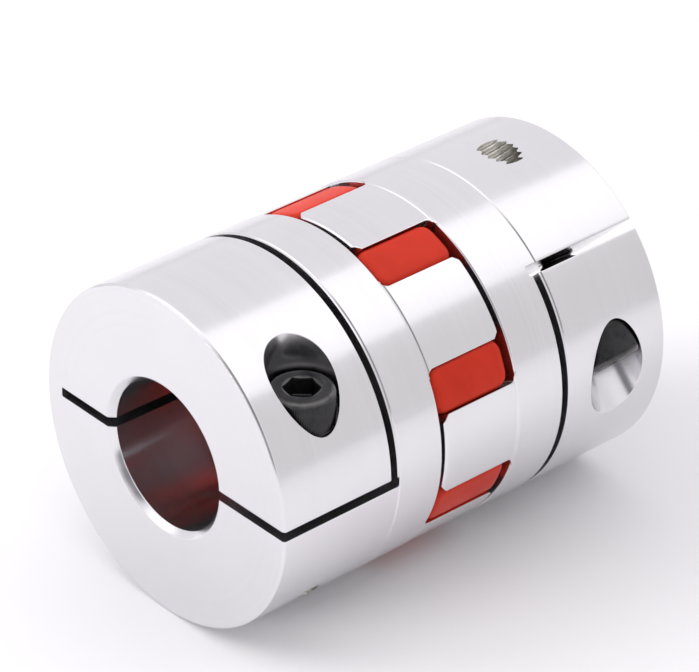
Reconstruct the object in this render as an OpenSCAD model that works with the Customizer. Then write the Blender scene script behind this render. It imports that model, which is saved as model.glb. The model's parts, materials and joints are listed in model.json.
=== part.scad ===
// Clamp-type jaw coupling with an eight-armed elastic spider.
// The shaft axis is X, the origin is the middle of the coupling, and +Z is up.
// The front hub is on -X. Its clamp slit is level and opens towards -Y, and its screw stands upright.

/* [Coupling] */
// Outside diameter of both hubs
outer_d = 55; // [54:0.5:57]
// Shaft bore of both hubs
bore_d = 24; // [19:0.5:24.5]
// Length of one hub from its outer face to the root of its jaws
hub_len = 31.2; // [30.6:0.1:33]
// Distance between the two hubs' jaw roots
jaw_gap = 15.6; // [15:0.1:18]
// Chamfer on the outer edge of the hubs
edge_chamfer = 0.4; // [0.3:0.1:1]
// Chamfer at the mouth of the bore
bore_chamfer = 1; // [0.4:0.1:1.2]

/* [Jaws and spider] */
// Number of jaws on one hub
jaw_count = 4; // [4:1:4]
// Clearance between a jaw's tip and the other hub
tip_gap = 0.8; // [0.5:0.1:1.5]
// Width of a spider arm at its thickest
arm_w = 8.2; // [7.6:0.1:8.4]
// How much narrower the spider is than the space between the jaw roots
spider_play = 1; // [0.4:0.1:1.4]
// Radius of the curved flanks of an arm
flank_r = 28; // [24:1:34]
// Diameter of the hole through the spider
spider_hole_d = 27; // [25:0.5:28]
// Outside diameter of the spider's ring
spider_ring_d = 34.8; // [33:0.2:34.8]
// Root fillet of the jaws
root_fillet = 1.2; // [0.8:0.1:1.3]
// Chamfer on the two corners of a jaw's tip
tip_chamfer = 1.2; // [0.8:0.1:1.8]

/* [Clamp] */
// Width of the clamp slit
slit_w = 1.6; // [1.2:0.1:2]
// Metal left behind the slit as the clamp's flexure
web = 3.6; // [3:0.1:4.5]
// Distance from the outer face to the cross slot
slot_x = 20.9; // [20.5:0.1:21.5]
// Width of the cross slot
slot_w = 1.2; // [1:0.1:1.6]
// How far the slit runs past the cross slot
slit_run_out = 0.5; // [0.2:0.1:1]
// Distance from the outer face to the clamp screw
screw_x = 10.4; // [9.5:0.1:11]
// Distance from the shaft axis to the clamp screw
screw_offset = 19.3; // [19:0.1:19.8]
// Height of the screw head's seat above the slit's middle
seat_z = 11.7; // [10:0.1:12]

/* [Clamp screw] */
// Thread diameter
screw_d = 6; // [6:1:6]
// Length under the head
screw_len = 20; // [16:2:22]
// Head diameter
head_d = 10; // [9.6:0.1:10]
// Height of the head
head_h = 6; // [5:0.5:6]
// Hex socket across its flats
hex_af = 5; // [4:0.5:5]
// Depth of the hex socket
hex_depth = 3; // [2:0.5:3.5]

/* [Hidden] */

outer_r = outer_d / 2;
bore_r = bore_d / 2;
face_x = hub_len + jaw_gap / 2;
root_x = jaw_gap / 2;
jaw_len = jaw_gap - tip_gap;
arm_count = 2 * jaw_count;
arm_pitch = 360 / arm_count;

// The jaws' outside is turned a little smaller than the hub, which leaves a fine line at their root.
jaw_step = 0.12;
jaw_r = outer_r - jaw_step;
// Inner radius of the jaws, just outside the spider's ring.
jaw_in_r = 17.6;
// Radius at which an arm is thickest.
arm_mid_r = 22;
// Clearance between arm and jaw flanks.
flank_gap = 0.1;
// The arms stop short of the hubs' outside, and most of the spider's play is at the rear hub.
spider_step = 0.3;
arm_r = outer_r - spider_step;
front_play = 0.15;
spider_w = jaw_gap - spider_play;
spider_x = front_play - spider_play / 2;
arm_corner_r = 2.2;
// Half width of an arm's space at the hubs' outside, where it is narrowest.
narrow_half = sqrt(pow(flank_r, 2) - pow(outer_r - arm_mid_r, 2)) - (flank_r - arm_w / 2);
// The arms start inside the ring, and the ring is a little narrower than the arms.
arm_root_r = 15;
ring_inset = 0.3;
// Small chamfer where the jaws' outside meets their tip.
tip_edge = 0.3;
// Small chamfers at the root plane, on the outside and in the bore.
root_edge = 0.25;
inner_bore_chamfer = 0.5;
// Fine turned lines at the jaws' root and beside the cross slot: their depth and half width, and how far
// the second one is from the slot.
line_depth = 0.18;
line_half = 0.18;
line_step = 0.45;

// Counterbore, clearance hole and tapped hole of the clamp screw. The thread is plain, so the shank
// is a little under and the hole at the nominal size.
counterbore_r = head_d / 2 + 0.5;
clearance_r = screw_d / 2 + 0.3;
tapped_r = screw_d / 2;
shank_r = screw_d / 2 - 0.05;
// Chamfers on the head and at the socket's mouth, and how far the hexagon is turned at rest.
head_edge = 0.5;
socket_edge = 0.3;
socket_turn = 18;
// Overlap that lets cutters pass right through a face.
eps = 0.5;

FINE = 128;
ROUND = 64;
SMALL = 48;

// Stands a shape's Z axis along the shaft.
module along_shaft() {
    rotate([0, 90, 0]) children();
}

// Turns a shape about the shaft by an angle measured from -Y up towards +Z.
module about_shaft(angle) {
    rotate([-angle, 0, 0]) children();
}

// Puts the rear hub's pieces in place: the same piece turned end for end.
module end_for_end() {
    rotate(a = 180, v = [0, -cos(arm_pitch / 2), sin(arm_pitch / 2)]) children();
}

// Section of one arm across the shaft: two arcs that bulge from a radial centre line along -Y.
module arm_section(grow) {
    side = flank_r - arm_w / 2;
    intersection() {
        translate([-arm_mid_r, side]) circle(r = flank_r + grow, $fn = FINE);
        translate([-arm_mid_r, -side]) circle(r = flank_r + grow, $fn = FINE);
        translate([-outer_r - eps, -arm_w]) square([outer_r + eps - bore_r, 2 * arm_w]);
    }
}

// Stands a section drawn in X (along Y) and Y (along Z) up along the shaft, centred on the origin.
module extrude_along_shaft(length) {
    rotate([90, 0, 90]) translate([0, 0, -length / 2]) linear_extrude(length) children();
}

// Turned blank of the front hub, with its bore and chamfers.
module hub_blank(line_x) {
    inner = bore_r;
    outer = outer_r;
    line = -face_x + line_x;
    along_shaft()
        rotate_extrude($fn = FINE)
        polygon([
            [inner + bore_chamfer, -face_x],
            [outer - edge_chamfer, -face_x],
            [outer, -face_x + edge_chamfer],
            [outer, line - line_half],
            [outer - line_depth, line],
            [outer, line + line_half],
            [outer, -root_x - root_edge],
            [outer - root_edge, -root_x],
            [inner + inner_bore_chamfer, -root_x],
            [inner, -root_x - inner_bore_chamfer],
            [inner, -face_x + bore_chamfer]
        ]);
}

// Ring that the jaws are cut from, rooted a little inside the hub.
module jaw_ring() {
    tip_x = -root_x + jaw_len;
    along_shaft()
        rotate_extrude($fn = FINE)
        polygon([
            [jaw_in_r, -root_x - eps],
            [jaw_r, -root_x - eps],
            [jaw_r, -root_x],
            [jaw_r - line_depth, -root_x + line_half],
            [jaw_r, -root_x + 2 * line_half],
            [jaw_r, tip_x - tip_edge],
            [jaw_r - tip_edge, tip_x],
            [jaw_in_r, tip_x]
        ]);
}

// Everything that isn't one of this hub's jaws: the arms' pockets and the other hub's places.
module between_jaws() {
    half = arm_pitch / 2;
    for (i = [0 : jaw_count - 1])
        about_shaft(i * 360 / jaw_count)
        extrude_along_shaft(3 * jaw_gap)
        union() {
            rotate(half) arm_section(flank_gap);
            rotate(-half) arm_section(flank_gap);
            polygon([
                [0, 0],
                [-outer_d * cos(half), outer_d * sin(half)],
                [-outer_d * cos(half), -outer_d * sin(half)]
            ]);
        }
}

// Cuts the two corners of each jaw's tip, along the flanks.
module tip_corner_cuts() {
    reach = tip_chamfer * sqrt(2);
    tip_x = -root_x + jaw_len;
    for (i = [0 : jaw_count - 1], side = [-1, 1])
        about_shaft(i * 360 / jaw_count + side * arm_pitch / 2)
        translate([tip_x, -outer_r / 2 - eps, side * narrow_half])
        rotate([0, 45, 0])
        cube([reach, outer_r, reach], center = true);
}

// Fillets between each jaw's flanks and the hub's face, turned about the flank's own axis.
module root_fillets() {
    ring_r = flank_r + flank_gap;
    sweep = 2 * asin((outer_r + eps - arm_mid_r) / flank_r);
    intersection() {
        jaw_ring();
        for (i = [0 : jaw_count - 1], side = [-1, 1])
            about_shaft(i * 360 / jaw_count + side * arm_pitch / 2)
            translate([-root_x, -arm_mid_r, -side * (flank_r - arm_w / 2)])
            along_shaft()
            rotate(90 + side * 90 - sweep / 2)
            rotate_extrude(angle = sweep, $fn = FINE)
            difference() {
                translate([ring_r - root_fillet, -eps]) square([root_fillet + eps, root_fillet + eps]);
                translate([ring_r - root_fillet, root_fillet]) circle(r = root_fillet, $fn = SMALL);
            }
    }
}

// Level clamp slit from the -Y side through the bore to the web, and the slot across the clamp half.
module clamp_cuts() {
    slit_end = slot_x + slot_w + slit_run_out;
    slit_reach = outer_r - web;
    translate([-face_x - eps, -outer_r - eps, -slit_w / 2])
        cube([slit_end + eps, outer_r + eps + slit_reach, slit_w]);
    translate([-face_x + slot_x, -outer_r - eps, -slit_w / 2])
        cube([slot_w, outer_d + 2 * eps, outer_r + eps]);
}

// Counterbore, clearance hole and tapped hole for the clamp screw.
module screw_holes() {
    translate([-face_x + screw_x, -screw_offset, 0]) {
        translate([0, 0, seat_z]) cylinder(r = counterbore_r, h = outer_r, $fn = ROUND);
        cylinder(r = clearance_r, h = seat_z + eps, $fn = ROUND);
        translate([0, 0, -outer_r]) cylinder(r = tapped_r, h = outer_r + eps, $fn = ROUND);
    }
}

// One whole hub in the front hub's place. line_x places the fine turned line.
module hub(line_x) {
    difference() {
        union() {
            hub_blank(line_x);
            difference() {
                jaw_ring();
                between_jaws();
                tip_corner_cuts();
            }
            root_fillets();
        }
        clamp_cuts();
        screw_holes();
    }
}

// One clamp screw in the front hub's place.
module screw() {
    top = seat_z + head_h;
    translate([-face_x + screw_x, -screw_offset, 0])
        difference() {
            rotate_extrude($fn = ROUND)
                polygon([
                    [0, seat_z - screw_len],
                    [shank_r - head_edge, seat_z - screw_len],
                    [shank_r, seat_z - screw_len + head_edge],
                    [shank_r, seat_z],
                    [head_d / 2, seat_z],
                    [head_d / 2, top - head_edge],
                    [head_d / 2 - head_edge, top],
                    [0, top]
                ]);
            translate([0, 0, top - hex_depth])
                rotate(socket_turn)
                cylinder(d = hex_af / cos(30), h = hex_depth + eps, $fn = 6);
            translate([0, 0, top - socket_edge])
                cylinder(
                    r1 = hex_af / 2,
                    r2 = hex_af / 2 + 2 * socket_edge,
                    h = 2 * socket_edge,
                    $fn = SMALL
                );
        }
}

// Rounded outline of an arm as seen along its radius, standing on the shaft's side.
module arm_outline() {
    length = spider_w - 2 * arm_corner_r;
    width = arm_w - 2 * arm_corner_r;
    rotate([90, 0, 0])
        linear_extrude(outer_d)
        union() {
            square([spider_w, width], center = true);
            square([length, arm_w], center = true);
            for (x = [-1, 1], y = [-1, 1])
                translate([x * length / 2, y * width / 2]) circle(r = arm_corner_r, $fn = SMALL);
        }
}

module hub_front() {
    color([0.90, 0.90, 0.92]) hub(slot_x + slot_w + line_step);
}

module hub_rear() {
    color([0.90, 0.90, 0.92]) end_for_end() hub(slot_x - line_step);
}

// One arm of the spider along -Y, rooted inside the ring.
module spider_arm() {
    intersection() {
        extrude_along_shaft(spider_w)
            intersection() {
                arm_section(0);
                circle(r = arm_r, $fn = FINE);
                translate([-outer_r, -arm_w]) square([outer_r - arm_root_r, 2 * arm_w]);
            }
        arm_outline();
    }
}

module spider() {
    ring_w = spider_w - 2 * ring_inset;
    color([0.82, 0.13, 0.09])
        translate([spider_x, 0, 0])
        union() {
            along_shaft()
                difference() {
                    cylinder(d = spider_ring_d, h = ring_w, center = true, $fn = FINE);
                    cylinder(d = spider_hole_d, h = ring_w + 2 * eps, center = true, $fn = FINE);
                }
            for (i = [0 : arm_count - 1])
                about_shaft((i + 0.5) * arm_pitch) spider_arm();
        }
}

module screw_front() {
    color([0.10, 0.10, 0.11]) screw();
}

module screw_rear() {
    color([0.10, 0.10, 0.11]) end_for_end() screw();
}

hub_front();
hub_rear();
spider();
screw_front();
screw_rear();
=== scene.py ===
"""Clamp-type jaw coupling: two turned aluminium hubs, a moulded spider and two cap screws."""
import json
import math

import bmesh
import bpy
from mathutils import Matrix, Vector


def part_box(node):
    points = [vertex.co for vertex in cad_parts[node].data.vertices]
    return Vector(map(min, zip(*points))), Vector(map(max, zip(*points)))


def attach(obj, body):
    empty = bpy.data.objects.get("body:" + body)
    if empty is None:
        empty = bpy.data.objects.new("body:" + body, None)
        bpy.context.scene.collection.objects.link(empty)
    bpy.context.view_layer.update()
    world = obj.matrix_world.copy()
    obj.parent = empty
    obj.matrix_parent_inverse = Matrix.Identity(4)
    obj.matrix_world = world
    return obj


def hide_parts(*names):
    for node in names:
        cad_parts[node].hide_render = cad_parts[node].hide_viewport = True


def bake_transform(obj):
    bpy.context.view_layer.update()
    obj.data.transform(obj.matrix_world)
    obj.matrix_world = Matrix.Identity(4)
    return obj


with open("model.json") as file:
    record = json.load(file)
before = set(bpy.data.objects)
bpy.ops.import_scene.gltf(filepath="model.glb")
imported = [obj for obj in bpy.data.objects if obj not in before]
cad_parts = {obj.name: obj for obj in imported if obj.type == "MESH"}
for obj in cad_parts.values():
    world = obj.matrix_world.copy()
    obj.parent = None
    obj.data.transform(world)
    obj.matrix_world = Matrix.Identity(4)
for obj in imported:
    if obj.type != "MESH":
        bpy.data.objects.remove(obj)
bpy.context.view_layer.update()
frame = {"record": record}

MM = 0.001

# ---------------------------------------------------------------- sizes, in millimetres


def box_mm(node):
    """Lowest and highest corner of a CAD node."""
    low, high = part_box(node)
    return low / MM, high / MM


HUB_LOW, HUB_HIGH = box_mm("hub_front")
SPIDER_LOW, SPIDER_HIGH = box_mm("spider")
SCREW_LOW, SCREW_HIGH = box_mm("screw_front")
MOUNTS = {mount["name"]: mount for mount in frame["record"]["mounts"]}

# The front hub lies on -X; the rear hub is the same piece turned end for end.
OUTER_R = HUB_HIGH.z
BORE_R = MOUNTS["shaft_bore_front"]["dims"]["r_mm"]
FACE_X = -HUB_LOW.x
JAW_TIP_X = HUB_HIGH.x
TIP_GAP = 0.8
ROOT_X = JAW_TIP_X + TIP_GAP
SPIDER_X = (SPIDER_LOW.x + SPIDER_HIGH.x) / 2
SPIDER_HALF_W = (SPIDER_HIGH.x - SPIDER_LOW.x) / 2
SPIDER_STEP = 0.3
RING_INSET = 0.3

ARM_COUNT = 8
ARM_PITCH = 360 / ARM_COUNT
JAW_R = OUTER_R - 0.12
JAW_IN_R = 17.6
JAW_ROOT_DEPTH = 0.5
ARM_W = 8.2
ARM_R = OUTER_R - SPIDER_STEP
ARM_MID_R = 22
FLANK_R = 28
FLANK_GAP = 0.1
RING_R = 17.4
HOLE_R = 13.5
ROOT_FILLET = 1.2
TIP_CHAMFER = 1.1
TIP_EDGE = 0.3

EDGE_CHAMFER = 0.4
BORE_CHAMFER = 1.0
INNER_BORE_CHAMFER = 0.5
ROOT_EDGE = 0.25
LINE_DEPTH = 0.18
LINE_HALF = 0.18
LINE_STEP = 0.45

SLIT_W = 1.6
WEB = 3.6
SLOT_X = 20.9
SLOT_W = 1.2
SLIT_RUN_OUT = 0.5

SCREW_X = (SCREW_LOW.x + SCREW_HIGH.x) / 2
SCREW_Y = (SCREW_LOW.y + SCREW_HIGH.y) / 2
HEAD_R = (SCREW_HIGH.x - SCREW_LOW.x) / 2
HEAD_TOP = SCREW_HIGH.z
HEAD_H = 6
SEAT_Z = HEAD_TOP - HEAD_H
SCREW_TIP = SCREW_LOW.z
SHANK_R = 2.95
THREAD_R = 3.0
THREAD_PITCH = 1.0
THREAD_DEPTH = 0.54
CLEARANCE_R = 3.3
COUNTERBORE_R = 5.5
HEX_AF = 5
HEX_DEPTH = 3
HEX_TURN = 18

# Machined edges that turn by more than the break angle are broken by this much, and an edge that still
# turns by more than the crease angle is shaded sharp.
EDGE_BREAK = 0.1
BREAK_ANGLE = 32
CREASE_ANGLE = 36

END_FOR_END = Matrix.Rotation(
    math.pi, 4, Vector((0, -math.cos(math.radians(ARM_PITCH / 2)), math.sin(math.radians(ARM_PITCH / 2))))
)
IN_PLACE = Matrix.Identity(4)

# ---------------------------------------------------------------- mesh helpers


def on_shaft(x, radius, angle):
    """Point round the shaft; the angle is in degrees from -Y up towards +Z."""
    a = math.radians(angle)
    return Vector((x, -radius * math.cos(a), radius * math.sin(a)))


def new_piece(name, points, faces, place=IN_PLACE):
    """Object from points in millimetres, with its normals outwards and shaded smooth."""
    mesh = bpy.data.meshes.new(name)
    mesh.from_pydata([(place @ point) * MM for point in points], [], faces)
    shape = bmesh.new()
    shape.from_mesh(mesh)
    bmesh.ops.recalc_face_normals(shape, faces=shape.faces)
    shape.to_mesh(mesh)
    shape.free()
    mesh.shade_smooth()
    piece = bpy.data.objects.new(name, mesh)
    bpy.context.scene.collection.objects.link(piece)
    return piece


def grid_faces(rows, columns, wrap_rows=False, wrap_columns=True, first=0):
    """Quads of a grid of points stored row by row."""
    faces = []
    for i in range(rows if wrap_rows else rows - 1):
        for j in range(columns if wrap_columns else columns - 1):
            a = first + i * columns
            b = first + (i + 1) % rows * columns
            k = (j + 1) % columns
            faces.append((a + j, a + k, b + k, b + j))
    return faces


def ring_solid(name, profile, segments):
    """Closed profile of (x, radius) points turned about the shaft."""
    points = [on_shaft(x, r, 360 * k / segments) for k in range(segments) for x, r in profile]
    return new_piece(name, points, grid_faces(segments, len(profile), wrap_rows=True))


def loft(name, sections):
    """Closed solid through sections of equal length, with flat ends."""
    count = len(sections[0])
    points = [point for section in sections for point in section]
    last = (len(sections) - 1) * count
    ends = [tuple(range(count)), tuple(range(last, last + count))]
    return new_piece(name, points, grid_faces(len(sections), count) + ends)


def block(name, low, high):
    """Box between two corners."""
    corners = [Vector((x, y, z)) for z in (low[2], high[2]) for x, y in (
        (low[0], low[1]), (high[0], low[1]), (high[0], high[1]), (low[0], high[1])
    )]
    return loft(name, [corners[:4], corners[4:]])


def on_screw(radius, turn, z):
    """Point round the clamp screw's axis; the turn is in radians."""
    return Vector((SCREW_X + radius * math.cos(turn), SCREW_Y + radius * math.sin(turn), z))


def upright(name, radius, low, high, segments):
    """Cylinder on the clamp screw's axis."""
    turns = [2 * math.pi * k / segments for k in range(segments)]
    return loft(name, [[on_screw(radius, turn, z) for turn in turns] for z in (low, high)])


def apply_modifiers(piece):
    """Turns a piece's modifiers into its mesh."""
    shown = piece.evaluated_get(bpy.context.evaluated_depsgraph_get())
    mesh = bpy.data.meshes.new_from_object(shown)
    piece.modifiers.clear()
    piece.data = mesh


def combine(piece, others, operation):
    """Adds other solids to a piece, or cuts them from it, and deletes them."""
    for other in others:
        modifier = piece.modifiers.new(other.name, "BOOLEAN")
        modifier.operation = operation
        modifier.solver = "MANIFOLD"
        modifier.object = other
    apply_modifiers(piece)
    for other in others:
        bpy.data.objects.remove(other)


def arc(centre, radius, start, end, steps):
    """Points of an arc in a plane, from one angle in degrees to the other."""
    turns = [math.radians(start + (end - start) * k / steps) for k in range(steps + 1)]
    return [(centre[0] + radius * math.cos(t), centre[1] + radius * math.sin(t)) for t in turns]


# ---------------------------------------------------------------- hubs

LATHE_STEPS = 256
FLANK_STEPS = 12
JAW_ARC_STEPS = 24
FILLET_STEPS = 6
COUNTERBORE_STEPS = 96
CLEARANCE_STEPS = 64
THREAD_STEPS = 72
LEVELS_PER_PITCH = 14
# The cross slot's floor is a hair above the slit's, so that no two cutter faces lie in one plane.
SLOT_LIFT = 0.01
# The hub's thread starts this far past the screw's tip.
THREAD_START = 0.6


def flank_angle(radius, grow):
    """Angle between an arm's centre line and its flank at a radius, with the flank moved outwards."""
    along = radius
    for _ in range(5):
        half = math.sqrt((FLANK_R + grow) ** 2 - (along - ARM_MID_R) ** 2) - (FLANK_R - ARM_W / 2)
        along = math.sqrt(radius ** 2 - half ** 2)
    return math.degrees(math.asin(half / radius))


def jaw_section(x, centre, grow, outer):
    """Outline of one jaw across the shaft, with its two flanks moved outwards by grow."""
    half = {}
    radii = [JAW_IN_R + (outer - JAW_IN_R) * k / FLANK_STEPS for k in range(FLANK_STEPS + 1)]
    for radius in radii:
        half[radius] = ARM_PITCH / 2 - flank_angle(radius, FLANK_GAP - grow)
    section = [on_shaft(x, radius, centre - half[radius]) for radius in radii]
    for k in range(1, JAW_ARC_STEPS):
        turn = -1 + 2 * k / JAW_ARC_STEPS
        section.append(on_shaft(x, outer, centre + turn * half[outer]))
    section += [on_shaft(x, radius, centre + half[radius]) for radius in reversed(radii)]
    for k in range(1, JAW_ARC_STEPS):
        turn = 1 - 2 * k / JAW_ARC_STEPS
        section.append(on_shaft(x, JAW_IN_R, centre + turn * half[JAW_IN_R]))
    return section


def jaw(centre):
    """One jaw of the front hub, from inside the hub to its chamfered tip."""
    levels = [(-ROOT_X - JAW_ROOT_DEPTH, ROOT_FILLET, 0)]
    for k in range(FILLET_STEPS + 1):
        turn = math.radians(90 * k / FILLET_STEPS)
        levels.append((-ROOT_X + ROOT_FILLET * (1 - math.cos(turn)), ROOT_FILLET * (1 - math.sin(turn)), 0))
    levels.append((JAW_TIP_X - TIP_CHAMFER, 0, 0))
    levels.append((JAW_TIP_X - TIP_EDGE, TIP_EDGE - TIP_CHAMFER, 0))
    levels.append((JAW_TIP_X, -TIP_CHAMFER, TIP_EDGE))
    return loft(f"jaw_{centre:.0f}", [jaw_section(x, centre, grow, JAW_R - drop) for x, grow, drop in levels])


def turned_line(x, radius):
    """Cutter for a fine V-shaped line round the hub."""
    return ring_solid("turned_line", [
        (x - 2 * LINE_HALF, radius + LINE_DEPTH),
        (x + 2 * LINE_HALF, radius + LINE_DEPTH),
        (x, radius - LINE_DEPTH),
    ], LATHE_STEPS)


def hub_blank(name):
    """Turned blank of the front hub, with its bore and chamfers."""
    return ring_solid(name, [
        (-FACE_X, BORE_R + BORE_CHAMFER),
        (-FACE_X, OUTER_R - EDGE_CHAMFER),
        (-FACE_X + EDGE_CHAMFER, OUTER_R),
        (-ROOT_X - ROOT_EDGE, OUTER_R),
        (-ROOT_X, OUTER_R - ROOT_EDGE),
        (-ROOT_X, BORE_R + INNER_BORE_CHAMFER),
        (-ROOT_X - INNER_BORE_CHAMFER, BORE_R),
        (-FACE_X + BORE_CHAMFER, BORE_R),
    ], LATHE_STEPS)


def clamp_cutters():
    """Cutters for the clamp slit, the cross slot and the screw's counterbore and clearance hole."""
    past = OUTER_R + 1
    slot = -FACE_X + SLOT_X
    slit_end = slot + SLOT_W + SLIT_RUN_OUT
    return [
        block("slit", (-FACE_X - 1, -past, -SLIT_W / 2), (slit_end, OUTER_R - WEB, SLIT_W / 2)),
        block("slot", (slot, -past, -SLIT_W / 2 + SLOT_LIFT), (slot + SLOT_W, past, past)),
        upright("counterbore", COUNTERBORE_R, SEAT_Z, past, COUNTERBORE_STEPS),
        upright("clearance", CLEARANCE_R, 0, SEAT_Z + 1, CLEARANCE_STEPS),
    ]


def break_edges(piece):
    """Rounds a piece's machined edges a little."""
    edges = piece.modifiers.new("edge_break", "BEVEL")
    edges.width = EDGE_BREAK * MM
    edges.segments = 2
    edges.limit_method = "ANGLE"
    edges.angle_limit = math.radians(BREAK_ANGLE)
    edges.use_clamp_overlap = False
    apply_modifiers(piece)


def hub(name, node, line_x, place, materials):
    """One whole hub, from the front hub's place; line_x places its fine turned line."""
    piece = hub_blank(name)
    combine(piece, [jaw(ARM_PITCH + 2 * ARM_PITCH * k) for k in range(ARM_COUNT // 2)], "UNION")
    combine(piece, clamp_cutters(), "DIFFERENCE")
    break_edges(piece)
    combine(piece, [
        tapped_hole(),
        turned_line(-FACE_X + line_x, OUTER_R),
        turned_line(-ROOT_X + LINE_HALF, JAW_R),
    ], "DIFFERENCE")
    piece.data.set_sharp_from_angle(angle=math.radians(CREASE_ANGLE))
    piece.data.materials.clear()
    for material in materials:
        piece.data.materials.append(material)
    mark_thread(piece)
    normals = piece.modifiers.new("flat_faces", "WEIGHTED_NORMAL")
    normals.keep_sharp = True
    piece.data.transform(place)
    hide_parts(node)
    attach(piece, node)


def thread_step(turn):
    """Share of the thread's depth at a place along its pitch: a wide flat, a narrow flat and two flanks."""
    wide, narrow = 1 / 8, 7 / 16
    return min(1, max(0, (narrow - abs(turn % 1 - 0.5)) / (narrow - wide)))


def tapped_hole():
    """Cutter for the screw's hole: plain where the screw is, and threaded past its tip."""
    start = SCREW_TIP - THREAD_START
    steps = int((start + OUTER_R) * LEVELS_PER_PITCH / THREAD_PITCH)
    heights = [0.5, start] + [start - k * THREAD_PITCH / LEVELS_PER_PITCH for k in range(1, steps + 1)]
    sections = []
    for z in heights:
        fade = min(1, max(0, (start - z) / THREAD_PITCH))
        section = []
        for j in range(THREAD_STEPS):
            turn = j / THREAD_STEPS
            radius = THREAD_R - THREAD_DEPTH * fade * thread_step(z / THREAD_PITCH + turn)
            section.append(on_screw(radius, 2 * math.pi * turn, z))
        sections.append(section)
    return loft("tapped", sections)


def mark_thread(piece):
    """Gives the faces that lie wholly in the tapped hole their own material slot."""
    reach = THREAD_R + 0.01
    for face in piece.data.polygons:
        corners = [piece.data.vertices[index].co / MM for index in face.vertices]
        if all(z < 0 and math.hypot(x - SCREW_X, y - SCREW_Y) < reach for x, y, z in corners):
            face.material_index = 1


# ---------------------------------------------------------------- spider

ARM_CORNER_R = 2.2
ARM_EDGE_R = 1.3
RING_FILLET = 0.8
HOLE_EDGE = 0.4
CORNER_STEPS = 8


def circles_meet(first_r, centre, second_r):
    """Where a circle about the shaft meets a circle about another centre, on the +lateral side."""
    gap = math.hypot(*centre)
    along = (first_r ** 2 - second_r ** 2 + gap ** 2) / (2 * gap)
    across = math.sqrt(first_r ** 2 - along ** 2)
    ux, uy = centre[0] / gap, centre[1] / gap
    return (along * ux - across * uy, along * uy + across * ux)


def direction(start, end):
    """Angle in degrees of the line from one point to another."""
    return math.degrees(math.atan2(end[1] - start[1], end[0] - start[0]))


def arm_outline(inset, drop):
    """Half outline of an arm and its share of the ring, from the top's middle down to the gap's middle."""
    shaft = (0, 0)
    flank = (ARM_MID_R, ARM_W / 2 - FLANK_R)
    flank_r = FLANK_R - inset
    top_r = ARM_R - drop
    corner = circles_meet(top_r - ARM_EDGE_R, flank, flank_r - ARM_EDGE_R)
    fillet = circles_meet(RING_R + RING_FILLET, flank, flank_r + RING_FILLET)
    top = direction(shaft, corner)
    upper = direction(flank, corner)
    lower = direction(flank, fillet)
    foot = direction(shaft, fillet)
    outline = arc(shaft, top_r, 0, top, 6)
    outline += arc(corner, ARM_EDGE_R, top, upper, 5)[1:]
    outline += arc(flank, flank_r, upper, lower, 8)[1:]
    outline += arc(fillet, RING_FILLET, lower + 180, foot + 180, 5)[1:]
    outline += arc(shaft, RING_R, foot, ARM_PITCH / 2, 4)[1:]
    return outline


def spider_level(x, inset, drop):
    """Whole outline of the spider at one place along the shaft, as (x, radius, angle)."""
    half = [(math.hypot(a, b), math.degrees(math.atan2(b, a))) for a, b in arm_outline(inset, drop)]
    arm = [(r, -t) for r, t in reversed(half)] + half[1:]
    outline = []
    for k in range(ARM_COUNT):
        centre = ARM_PITCH * (k + 0.5)
        outline += [(x, r, centre + t) for r, t in arm[:-1]]
    return outline


def ease(value, low, high):
    """Smooth step from 0 at low to 1 at high."""
    t = min(1, max(0, (value - low) / (high - low)))
    return t * t * (3 - 2 * t)


def spider_levels():
    """Outlines from the middle of the spider to its +X end: straight flanks, then the rounded end."""
    straight = SPIDER_HALF_W - ARM_CORNER_R
    levels = [spider_level(straight * k / 3, 0, 0) for k in range(3)]
    for k in range(CORNER_STEPS + 1):
        turn = math.radians(90 * k / CORNER_STEPS)
        x = straight + ARM_CORNER_R * math.sin(turn)
        into_edge = min(1, max(0, (x - SPIDER_HALF_W + ARM_EDGE_R) / ARM_EDGE_R))
        drop = ARM_EDGE_R * (1 - math.sqrt(1 - into_edge ** 2))
        levels.append(spider_level(x, ARM_CORNER_R * (1 - math.cos(turn)), drop))
    return levels


def spider():
    """Moulded spider: eight crowned arms on a ring, as one closed skin."""
    half = spider_levels()
    cap_steps = 6
    end = half[-1]
    for k in range(1, cap_steps + 1):
        t = k / cap_steps
        half.append([(x, r + (HOLE_R + HOLE_EDGE - r) * t, angle) for x, r, angle in end])
    for k in range(1, 4):
        turn = math.radians(30 * k)
        back = HOLE_EDGE * (1 - math.cos(turn))
        radius = HOLE_R + HOLE_EDGE * (1 - math.sin(turn))
        half.append([(x - back, radius, angle) for x, r, angle in end])
    half.append([(0, HOLE_R, angle) for x, r, angle in end])
    levels = list(half)
    levels += [[(-x, r, angle) for x, r, angle in level] for level in reversed(half[1:-1])]
    points = []
    for level in levels:
        for x, r, angle in level:
            ring_share = 1 - ease(r, RING_R + 0.2, RING_R + 1.6)
            x *= 1 - RING_INSET / SPIDER_HALF_W * ring_share
            points.append(on_shaft(SPIDER_X + x, r, angle))
    piece = new_piece("spider_moulded", points, grid_faces(len(levels), len(end), wrap_rows=True))
    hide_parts("spider")
    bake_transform(piece)
    weigh_by_jaw(piece)
    return piece


def weigh_by_jaw(piece):
    """Reads each vertex's place in millimetres and does nothing with it: no blends are set."""
    for vertex in piece.data.vertices:
        x, y, z = vertex.co / MM


# ---------------------------------------------------------------- screws

KNURLS = 90
KNURL_DEPTH = 0.1
KNURL_STEPS = 4
SOCKET_MOUTH_R = 2.97
COUNTERSINK = 0.4
SHANK_STEPS = 40


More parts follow.
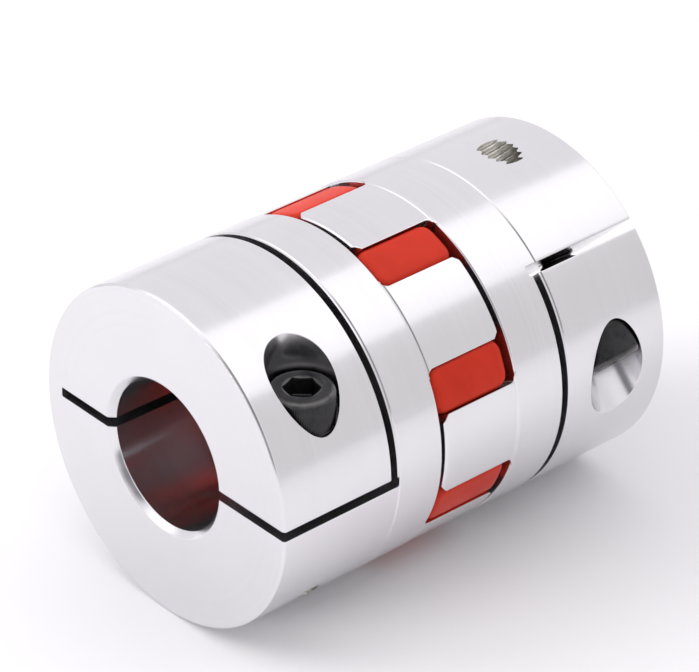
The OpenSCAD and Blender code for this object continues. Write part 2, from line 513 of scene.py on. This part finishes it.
def turned(levels, steps, point):
    """Points and faces of a solid about an upright axis; point(level, turn) gives (radius, height)."""
    points = []
    for level in levels:
        for j in range(steps):
            turn = 2 * math.pi * j / steps
            radius, z = point(level, math.degrees(turn))
            points.append(on_screw(radius, turn, z))
    last = (len(levels) - 1) * steps
    ends = [tuple(range(steps)), tuple(range(last, last + steps))]
    return points, grid_faces(len(levels), steps) + ends


def head_point(level, angle):
    """Radius and height of a point of the head; a level with no height is countersunk."""
    radius, z, knurled, hexagon, _ = level
    groove = 1 - abs((angle * KNURLS / 360) % 1 * 2 - 1)
    round_radius = radius - KNURL_DEPTH * knurled * groove
    flat = (angle - HEX_TURN) % 60 - 30
    hex_radius = radius / math.cos(math.radians(flat))
    radius = round_radius + (hex_radius - round_radius) * hexagon
    if z is None:
        z = HEAD_TOP - (SOCKET_MOUTH_R - radius) * COUNTERSINK
    return radius, z


def shank_point(level, angle):
    """A point of the shank: a thread of the full pitch that fades out at the tip."""
    z = level
    fade = min(1, (z - SCREW_TIP) / THREAD_PITCH + 0.15)
    groove = thread_step(z / THREAD_PITCH + angle / 360)
    tip = max(0, 0.6 - (z - SCREW_TIP))
    return SHANK_R - THREAD_DEPTH * groove * fade - tip, z


def screw(name, node, place):
    """Socket cap screw with a knurled head, a chamfered hexagon socket and a rolled thread."""
    inner = HEX_AF / 2
    floor = HEAD_TOP - HEX_DEPTH
    # Each level: radius, height, knurled share, hexagon share, and share of edge wear with painted highlight.
    head_levels = [
        (SHANK_R - 0.3, SEAT_Z, 0, 0, 0),
        (HEAD_R - 0.35, SEAT_Z, 0, 0, 0),
        (HEAD_R - 0.08, SEAT_Z + 0.1, 0, 0, 0),
        (HEAD_R, SEAT_Z + 0.35, 0, 0, 0),
        (HEAD_R, SEAT_Z + 0.7, 1, 0, 0),
        (HEAD_R, HEAD_TOP - 1.1, 1, 0, 0),
        (HEAD_R, HEAD_TOP - 0.75, 0, 0, 0),
        (HEAD_R - 0.07, HEAD_TOP - 0.48, 0, 0, 0.6),
        (HEAD_R - 0.28, HEAD_TOP - 0.22, 0, 0, 1),
        (HEAD_R - 0.55, HEAD_TOP - 0.07, 0, 0, 0.5),
        (HEAD_R - 0.8, HEAD_TOP, 0, 0, 0),
        (SOCKET_MOUTH_R + 0.1, HEAD_TOP, 0, 0, 0),
        (SOCKET_MOUTH_R, HEAD_TOP - 0.02, 0, 0, 0.5),
        (inner + 0.06, None, 0, 1, 1),
        (inner, HEAD_TOP - 0.45, 0, 1, 0),
        (inner, floor + 0.1, 0, 1, 0),
        (inner - 0.1, floor, 0, 1, 0),
        (1.6, floor - 0.1, 0, 0, 0),
        (0.1, floor - 0.9, 0, 0, 0),
    ]
    head_steps = KNURLS * KNURL_STEPS
    points, faces = turned(head_levels, head_steps, head_point)
    count = int((SEAT_Z + 0.2 - SCREW_TIP) * LEVELS_PER_PITCH)
    shank_levels = [SCREW_TIP + k / LEVELS_PER_PITCH for k in range(count + 1)]
    shank_points, shank_faces = turned(shank_levels, SHANK_STEPS, shank_point)
    faces += [tuple(len(points) + index for index in face) for face in shank_faces]
    piece = new_piece(name, points + shank_points, faces)
    # Lighter edge colour per point: wear on the rim and socket edges, which also paints their highlight.
    wear_and_sheen = [level[-1] for level in head_levels for _ in range(head_steps)]
    wear_and_sheen += [0] * len(shank_points)
    piece.data.attributes.new("wear_and_sheen", "FLOAT", "POINT").data.foreach_set("value", wear_and_sheen)
    piece.data.transform(place)
    piece.data.set_sharp_from_angle(angle=math.radians(CREASE_ANGLE))
    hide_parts(node)
    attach(piece, node)
    return piece


# ---------------------------------------------------------------- materials


def new_material(name):
    """Empty node material with its shader."""
    material = bpy.data.materials.new(name)
    material.use_nodes = True
    return material, material.node_tree, material.node_tree.nodes["Principled BSDF"]


def add(tree, kind, inputs=(), **settings):
    """New node with its settings, and its inputs given as values or as the sockets that feed them."""
    node = tree.nodes.new(kind)
    for key, value in settings.items():
        setattr(node, key, value)
    for key, value in dict(inputs).items():
        if isinstance(value, bpy.types.NodeSocket):
            tree.links.new(value, node.inputs[key])
        else:
            node.inputs[key].default_value = value
    return node


def noise(tree, vector, scale, detail=3.0, roughness=0.5):
    """Noise between about 0 and 1."""
    inputs = {"Vector": vector, "Scale": scale, "Detail": detail, "Roughness": roughness}
    return add(tree, "ShaderNodeTexNoise", inputs).outputs["Fac"]


def spread(tree, value, low, high, to_low, to_high):
    """Maps a range of values onto another one, clamped."""
    inputs = {"Value": value, "From Min": low, "From Max": high, "To Min": to_low, "To Max": to_high}
    return add(tree, "ShaderNodeMapRange", inputs).outputs["Result"]


def blend_colour(tree, share, first, second):
    """Colour between two colours."""
    mix = add(tree, "ShaderNodeMix", data_type="RGBA")
    tree.links.new(share, mix.inputs["Factor"])
    for socket, colour in ((mix.inputs[6], first), (mix.inputs[7], second)):
        if isinstance(colour, bpy.types.NodeSocket):
            tree.links.new(colour, socket)
        else:
            socket.default_value = (*colour, 1)
    return mix.outputs[2]


def sum_of(tree, first, second, operation="ADD"):
    """Two values added, multiplied or compared."""
    return add(tree, "ShaderNodeMath", {0: first, 1: second}, operation=operation).outputs[0]


def turning_vector(tree):
    """Coordinates that only change along the shaft and away from it, so that marks run round."""
    place = add(tree, "ShaderNodeTexCoord").outputs["Object"]
    parts = add(tree, "ShaderNodeSeparateXYZ", {"Vector": place}).outputs
    across = add(tree, "ShaderNodeCombineXYZ", {"Y": parts["Y"], "Z": parts["Z"]}).outputs[0]
    radius = add(tree, "ShaderNodeVectorMath", {0: across}, operation="LENGTH").outputs["Value"]
    drift = add(tree, "ShaderNodeVectorMath", {0: place, "Scale": 0.004}, operation="SCALE").outputs[0]
    turned_place = add(tree, "ShaderNodeCombineXYZ", {"X": parts["X"], "Y": radius}).outputs[0]
    return place, add(tree, "ShaderNodeVectorMath", {0: turned_place, 1: drift}, operation="ADD").outputs[0]


def aluminium(name, dark, light, roughness):
    """Fine-turned clear aluminium: marks that run round the shaft, faint stains and a few hairline nicks."""
    material, tree, shader = new_material(name)
    place, round_shaft = turning_vector(tree)
    feed = noise(tree, round_shaft, 9000, 2)
    passes = noise(tree, round_shaft, 1400, 3)
    stain = noise(tree, place, 90, 4, 0.55)
    nicks = noise(tree, place, 2600, 2, 0.7)
    tone = spread(tree, sum_of(tree, passes, stain), 0.7, 1.3, 0, 1)
    colour = blend_colour(tree, tone, dark, light)
    tree.links.new(colour, shader.inputs["Base Color"])
    streaks = spread(tree, passes, 0.3, 0.7, roughness, roughness + 0.03)
    rough = sum_of(tree, streaks, spread(tree, stain, 0.3, 0.8, 0, 0.04))
    tree.links.new(rough, shader.inputs["Roughness"])
    height = sum_of(tree, feed, spread(tree, nicks, 0.72, 0.86, 0, -2.5))
    bump = add(tree, "ShaderNodeBump", {"Height": height, "Strength": 0.05, "Distance": 0.00001})
    tree.links.new(bump.outputs["Normal"], shader.inputs["Normal"])
    shader.inputs["Metallic"].default_value = 1
    shader.inputs["Anisotropic"].default_value = 0.5
    shader.inputs["Anisotropic Rotation"].default_value = 0.25
    tangent = add(tree, "ShaderNodeTangent", direction_type="RADIAL", axis="X")
    tree.links.new(tangent.outputs[0], shader.inputs["Tangent"])
    return material


def polyurethane():
    """Red moulded polyurethane: a little translucent, with a satin skin, flow clouding and specks."""
    material, tree, shader = new_material("red_polyurethane")
    place = add(tree, "ShaderNodeTexCoord").outputs["Object"]
    cloud = noise(tree, place, 120, 4, 0.6)
    grain = noise(tree, place, 4200, 3, 0.6)
    specks = noise(tree, place, 900, 1, 0.4)
    tone = spread(tree, cloud, 0.3, 0.7, 0, 1)
    colour = blend_colour(tree, tone, (0.45, 0.020, 0.006), (0.53, 0.027, 0.009))
    speck = spread(tree, specks, 0.83, 0.85, 0, 1)
    tree.links.new(blend_colour(tree, speck, colour, (0.14, 0.006, 0.005)), shader.inputs["Base Color"])
    tree.links.new(spread(tree, grain, 0.3, 0.7, 0.34, 0.5), shader.inputs["Roughness"])
    height = sum_of(tree, grain, sum_of(tree, cloud, 2.0, "MULTIPLY"))
    bump = add(tree, "ShaderNodeBump", {"Height": height, "Strength": 0.25, "Distance": 0.00003})
    tree.links.new(bump.outputs["Normal"], shader.inputs["Normal"])
    shader.inputs["Specular IOR Level"].default_value = 0.17
    shader.inputs["Subsurface Weight"].default_value = 0.12
    shader.inputs["Subsurface Radius"].default_value = (0.003, 0.0008, 0.0004)
    shader.inputs["Subsurface Scale"].default_value = 1
    return material


def black_oxide():
    """Oiled black oxide on steel: nearly black, and greyer on the rim and socket edges, partly as wear and
    partly as a painted highlight.
    """
    material, tree, shader = new_material("black_oxide_steel")
    place = add(tree, "ShaderNodeTexCoord").outputs["Object"]
    cloud = noise(tree, place, 500, 4, 0.6)
    grain = noise(tree, place, 9000, 2, 0.6)
    tone = spread(tree, cloud, 0.35, 0.7, 0, 1)
    colour = blend_colour(tree, tone, (0.026, 0.026, 0.028), (0.050, 0.048, 0.047))
    # Lighter rim and socket edges: partly wear, partly a painted highlight.
    edge = add(tree, "ShaderNodeAttribute", attribute_name="wear_and_sheen").outputs["Fac"]
    wear_and_sheen = sum_of(tree, edge, spread(tree, cloud, 0.3, 0.6, 0.4, 1), "MULTIPLY")
    tree.links.new(blend_colour(tree, wear_and_sheen, colour, (0.14, 0.138, 0.135)), shader.inputs["Base Color"])
    tree.links.new(spread(tree, cloud, 0.3, 0.7, 0.26, 0.42), shader.inputs["Roughness"])
    bump = add(tree, "ShaderNodeBump", {"Height": grain, "Strength": 0.2, "Distance": 0.00001})
    tree.links.new(bump.outputs["Normal"], shader.inputs["Normal"])
    shader.inputs["Metallic"].default_value = 0.85
    return material


def studio_floor():
    """Pale matt floor, very faintly mottled, with a slight glow that keeps the shadow pale."""
    material, tree, shader = new_material("studio_floor")
    place = add(tree, "ShaderNodeTexCoord").outputs["Object"]
    cloud = noise(tree, place, 6, 3)
    colour = blend_colour(tree, cloud, (0.66, 0.655, 0.665), (0.68, 0.675, 0.685))
    tree.links.new(colour, shader.inputs["Base Color"])
    tree.links.new(colour, shader.inputs["Emission Color"])
    shader.inputs["Emission Strength"].default_value = 0.06
    shader.inputs["Roughness"].default_value = 0.9
    return material


# ---------------------------------------------------------------- the object

metal = aluminium("turned_aluminium", (0.755, 0.745, 0.765), (0.785, 0.775, 0.795), 0.175)
# Aluminium for the tapped holes: rougher, as cut, and a darker, yellower colour that is painted shade in the
# hole.
shaded_thread_metal = aluminium("cut_thread_painted_shade", (0.58, 0.57, 0.53), (0.70, 0.69, 0.65), 0.3)
red = polyurethane()
black = black_oxide()

hub("hub_front_machined", "hub_front", SLOT_X + SLOT_W + LINE_STEP, IN_PLACE, (metal, shaded_thread_metal))
hub("hub_rear_machined", "hub_rear", SLOT_X - LINE_STEP, END_FOR_END, (metal, shaded_thread_metal))
spider().data.materials.append(red)
screw("cap_screw_front", "screw_front", IN_PLACE).data.materials.append(black)
screw("cap_screw_rear", "screw_rear", END_FOR_END).data.materials.append(black)

# ---------------------------------------------------------------- floor, lights and camera, in metres

FLOOR_SIZE = 12
CAMERA_AZIMUTH = -42.2
CAMERA_ELEVATION = 32.1
CAMERA_ROLL = 0.86
CAMERA_DISTANCE = 0.6521
CAMERA_AIM = Vector((0.0006, 0.0028, 0.0039))
LENS = 218.8

SURROUND = (0.95, 0.93, 0.965)
# Zones of the surround: direction, the angles from it where the zone is full and where it ends, and colour.
ZONES = (
    (Vector((-0.58, 0.54, 0.61)), 14, 28, (1.45, 1.43, 1.47)),
    (Vector((-0.76, -0.18, 0.62)), 6, 16, (0.20, 0.20, 0.21)),
    (Vector((-0.80, -0.45, 0.40)), 8, 18, (0.20, 0.20, 0.21)),
    (Vector((-0.76, -0.64, 0.10)), 6, 16, (0.26, 0.26, 0.27)),
    (Vector((0.57, -0.78, 0.22)), 12, 45, (0.79, 0.78, 0.79)),
)


def floor():
    """Flat pale floor that the coupling lies on."""
    half = FLOOR_SIZE / 2 / MM
    sides = ((-half, -half), (half, -half), (half, half), (-half, half))
    piece = new_piece("studio_floor", [Vector((x, y, HUB_LOW.z)) for x, y in sides], [(0, 1, 2, 3)])
    piece.data.materials.append(studio_floor())


def area_light(name, place, aim, size, power, in_reflections=True):
    """Rectangular soft light at a place, shining towards another one."""
    light = bpy.data.lights.new(name, "AREA")
    light.shape = "RECTANGLE"
    light.size, light.size_y = size
    light.energy = power
    lamp = bpy.data.objects.new(name, light)
    lamp.location = place
    lamp.rotation_euler = (Vector(aim) - Vector(place)).to_track_quat("-Z", "Y").to_euler()
    lamp.visible_glossy = in_reflections
    bpy.context.scene.collection.objects.link(lamp)


def studio_world():
    """Pale surround with a few darker and brighter zones, which the turned metal shows as bands."""
    world = bpy.data.worlds.new("studio")
    world.use_nodes = True
    bpy.context.scene.world = world
    tree = world.node_tree
    heading = add(tree, "ShaderNodeTexCoord").outputs["Generated"]
    colour = SURROUND
    for toward, inner, outer, shade in ZONES:
        inputs = {0: heading, 1: toward.normalized()}
        facing = add(tree, "ShaderNodeVectorMath", inputs, operation="DOT_PRODUCT")
        limits = math.cos(math.radians(outer)), math.cos(math.radians(inner))
        share = spread(tree, facing.outputs["Value"], *limits, 0, 1)
        colour = blend_colour(tree, share, colour, shade)
    tree.links.new(colour, tree.nodes["Background"].inputs["Color"])


def camera():
    """Camera at the product shot's angle."""
    data = bpy.data.cameras.new("camera")
    data.lens = LENS
    data.clip_start = 0.01
    data.clip_end = 50
    eye = bpy.data.objects.new("camera", data)
    turn = Matrix.Rotation(math.radians(CAMERA_AZIMUTH), 4, "Z")
    turn @= Matrix.Rotation(math.radians(90 - CAMERA_ELEVATION), 4, "X")
    turn @= Matrix.Rotation(math.radians(CAMERA_ROLL), 4, "Z")
    back = turn @ Vector((0, 0, 1))
    eye.matrix_world = Matrix.Translation(CAMERA_AIM + back * CAMERA_DISTANCE) @ turn
    bpy.context.scene.collection.objects.link(eye)
    bpy.context.scene.camera = eye


floor()
area_light("softbox", (0.55, -0.2155, 0.7), (0.55, -0.2155, 0), (2.1, 0.703), 1.85)
area_light("ceiling_fill", (0, 0, 1.6), (0, 0, 0), (3, 3), 10, in_reflections=False)
area_light("bore_fill", (-1.1, 0.45, 0.06), (0, 0, 0), (0.5, 0.16), 24, in_reflections=False)
area_light("face_fill", (-0.6, 0.5, 0.45), (-0.06, 0.02, -0.03), (0.5, 0.5), 3.2, in_reflections=False)
studio_world()
camera()
bpy.context.scene.view_settings.view_transform = "Standard"
